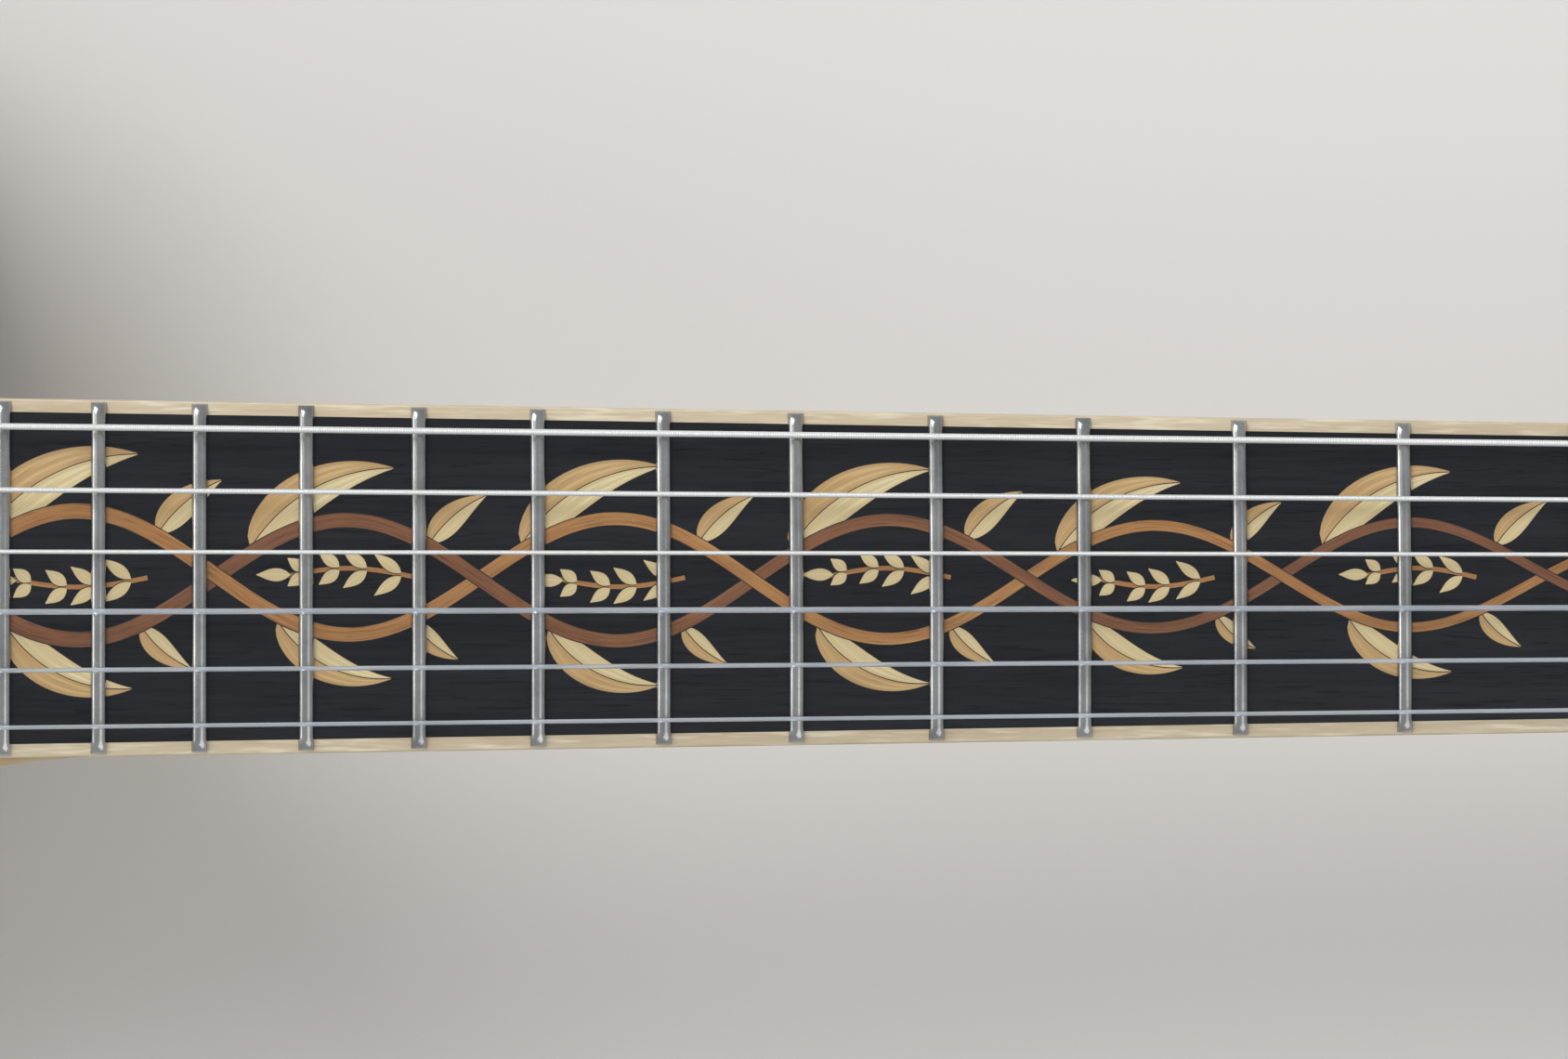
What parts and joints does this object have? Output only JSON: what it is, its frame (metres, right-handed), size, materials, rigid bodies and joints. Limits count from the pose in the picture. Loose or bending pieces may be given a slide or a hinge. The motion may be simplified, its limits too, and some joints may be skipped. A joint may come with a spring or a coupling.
{
  "type": "archtop guitar",
  "caption": "Acoustic archtop guitar with carved arched plates, cutaway, sound holes, bound fingerboard, floating bridge, tailpiece and geared tuners for nylon strings.",
  "frame": {"origin": "middle of the bounding box at the height of the lowest point of the arched back, on which the guitar lies", "axes": "+X to the headstock, +Y to the bass side, +Z out of the soundboard"},
  "size_m": [1.0704, 0.406, 0.1405],
  "materials": {
    "ebony": "satin ebony",
    "maple": "gloss maple",
    "pale_maple": "satin pale maple",
    "spruce": "gloss spruce",
    "inner_wood": "raw wood",
    "fret_metal": "polished nickel silver",
    "wound_string": "silver plated winding",
    "nylon_string": "clear nylon",
    "gold_plate": "polished gold plate",
    "bone": "polished bone",
    "cord": "black cord",
    "steel": "plain steel"
  },
  "bodies": {
    "guitar_body": {"back_binding": "pale_maple", "back_plate": "maple", "bass_tuner_plate": "gold_plate", "bridge_base": "ebony", "end_pin": "ebony", "fingerboard": "ebony", "fingerboard_binding": "pale_maple", "fret_01": "fret_metal", "fret_02": "fret_metal", "fret_03": "fret_metal", "fret_04": "fret_metal", "fret_05": "fret_metal", "fret_06": "fret_metal", "fret_07": "fret_metal", "fret_08": "fret_metal", "fret_09": "fret_metal", "fret_10": "fret_metal", "fret_11": "fret_metal", "fret_12": "fret_metal", "fret_13": "fret_metal", "fret_14": "fret_metal", "fret_15": "fret_metal", "fret_16": "fret_metal", "fret_17": "fret_metal", "fret_18": "fret_metal", "fret_19": "fret_metal", "fret_20": "fret_metal", "neck": "maple", "neck_block": "inner_wood", "nut": "bone", "ribs": "maple", "string_1_high_e": "nylon_string", "string_2_b": "nylon_string", "string_3_g": "nylon_string", "string_4_d": "wound_string", "string_5_a": "wound_string", "string_6_low_e": "wound_string", "tail_block": "inner_wood", "tail_cord": "cord", "tailpiece": "ebony", "top_binding": "pale_maple", "top_plate": "spruce", "treble_tuner_plate": "gold_plate", "x_brace": "inner_wood"},
    "button_6_low_e": {"tuner_button_6_low_e": "gold_plate"},
    "post_6_low_e": {"tuner_post_6_low_e": "gold_plate"},
    "button_5_a": {"tuner_button_5_a": "gold_plate"},
    "post_5_a": {"tuner_post_5_a": "gold_plate"},
    "button_4_d": {"tuner_button_4_d": "gold_plate"},
    "post_4_d": {"tuner_post_4_d": "gold_plate"},
    "button_3_g": {"tuner_button_3_g": "gold_plate"},
    "post_3_g": {"tuner_post_3_g": "gold_plate"},
    "button_2_b": {"tuner_button_2_b": "gold_plate"},
    "post_2_b": {"tuner_post_2_b": "gold_plate"},
    "button_1_high_e": {"tuner_button_1_high_e": "gold_plate"},
    "post_1_high_e": {"tuner_post_1_high_e": "gold_plate"},
    "saddle": {"bridge_saddle": "ebony"},
    "bass_wheel": {"bass_thumbwheel": "gold_plate"},
    "treble_wheel": {"treble_thumbwheel": "gold_plate"},
    "truss_rod": {"truss_rod": "steel"}
  },
  "joints": [
    {"name": "button_turn_6_low_e", "type": "hinge", "parent": "guitar_body", "child": "button_6_low_e", "pos_m": [0.42309, 0.02413, 0.0485], "axis": [0, 1, 0], "continuous": true},
    {"name": "post_turn_6_low_e", "type": "hinge", "parent": "guitar_body", "child": "post_6_low_e", "pos_m": [0.42129, 0.02413, 0.06947], "axis": [0.289, 0, 0.9573], "continuous": true, "deforming": ["string_6_low_e"]},
    {"name": "button_turn_5_a", "type": "hinge", "parent": "guitar_body", "child": "button_5_a", "pos_m": [0.46139, 0.02291, 0.03694], "axis": [0, 1, 0], "continuous": true},
    {"name": "post_turn_5_a", "type": "hinge", "parent": "guitar_body", "child": "post_5_a", "pos_m": [0.45958, 0.02291, 0.05791], "axis": [0.289, 0, 0.9573], "continuous": true, "deforming": ["string_5_a"]},
    {"name": "button_turn_4_d", "type": "hinge", "parent": "guitar_body", "child": "button_4_d", "pos_m": [0.49968, 0.02169, 0.02538], "axis": [0, 1, 0], "continuous": true},
    {"name": "post_turn_4_d", "type": "hinge", "parent": "guitar_body", "child": "post_4_d", "pos_m": [0.49787, 0.02169, 0.04635], "axis": [0.289, 0, 0.9573], "continuous": true, "deforming": ["string_4_d"]},
    {"name": "button_turn_3_g", "type": "hinge", "parent": "guitar_body", "child": "button_3_g", "pos_m": [0.49968, -0.02169, 0.02538], "axis": [0, -1, 0], "continuous": true},
    {"name": "post_turn_3_g", "type": "hinge", "parent": "guitar_body", "child": "post_3_g", "pos_m": [0.49787, -0.02169, 0.04635], "axis": [0.289, 0, 0.9573], "continuous": true, "deforming": ["string_3_g"]},
    {"name": "button_turn_2_b", "type": "hinge", "parent": "guitar_body", "child": "button_2_b", "pos_m": [0.46139, -0.02291, 0.03694], "axis": [0, -1, 0], "continuous": true},
    {"name": "post_turn_2_b", "type": "hinge", "parent": "guitar_body", "child": "post_2_b", "pos_m": [0.45958, -0.02291, 0.05791], "axis": [0.289, 0, 0.9573], "continuous": true, "deforming": ["string_2_b"]},
    {"name": "button_turn_1_high_e", "type": "hinge", "parent": "guitar_body", "child": "button_1_high_e", "pos_m": [0.42309, -0.02413, 0.0485], "axis": [0, -1, 0], "continuous": true},
    {"name": "post_turn_1_high_e", "type": "hinge", "parent": "guitar_body", "child": "post_1_high_e", "pos_m": [0.42129, -0.02413, 0.06947], "axis": [0.289, 0, 0.9573], "continuous": true, "deforming": ["string_1_high_e"]},
    {"name": "saddle_lift", "type": "slide", "parent": "guitar_body", "child": "saddle", "axis": [0, 0, 1], "range_m": [-0.0015, 0.002], "deforming": ["string_6_low_e", "string_5_a", "string_4_d", "string_3_g", "string_2_b", "string_1_high_e"]},
    {"name": "bass_wheel_turn", "type": "hinge", "parent": "saddle", "child": "bass_wheel", "pos_m": [-0.27646, 0.039, 0.1234], "axis": [0, 0, 1], "range_deg": [-775, 1032]},
    {"name": "treble_wheel_turn", "type": "hinge", "parent": "saddle", "child": "treble_wheel", "pos_m": [-0.27646, -0.039, 0.1234], "axis": [0, 0, 1], "range_deg": [-775, 1032]},
    {"name": "truss_rod_turn", "type": "hinge", "parent": "guitar_body", "child": "truss_rod", "pos_m": [-0.00029, 0, 0.10293], "axis": [0.9978, 0, -0.0663], "range_deg": [-360, 360]}
  ],
  "couplings": [
    {"joint": "post_turn_6_low_e", "follows": "button_turn_6_low_e", "ratio": -0.071429},
    {"joint": "post_turn_5_a", "follows": "button_turn_5_a", "ratio": -0.071429},
    {"joint": "post_turn_4_d", "follows": "button_turn_4_d", "ratio": -0.071429},
    {"joint": "post_turn_3_g", "follows": "button_turn_3_g", "ratio": 0.071429},
    {"joint": "post_turn_2_b", "follows": "button_turn_2_b", "ratio": 0.071429},
    {"joint": "post_turn_1_high_e", "follows": "button_turn_1_high_e", "ratio": 0.071429},
    {"joint": "bass_wheel_turn", "follows": "saddle_lift", "rad_per_m": 8976},
    {"joint": "treble_wheel_turn", "follows": "saddle_lift", "rad_per_m": 8976}
  ]
}
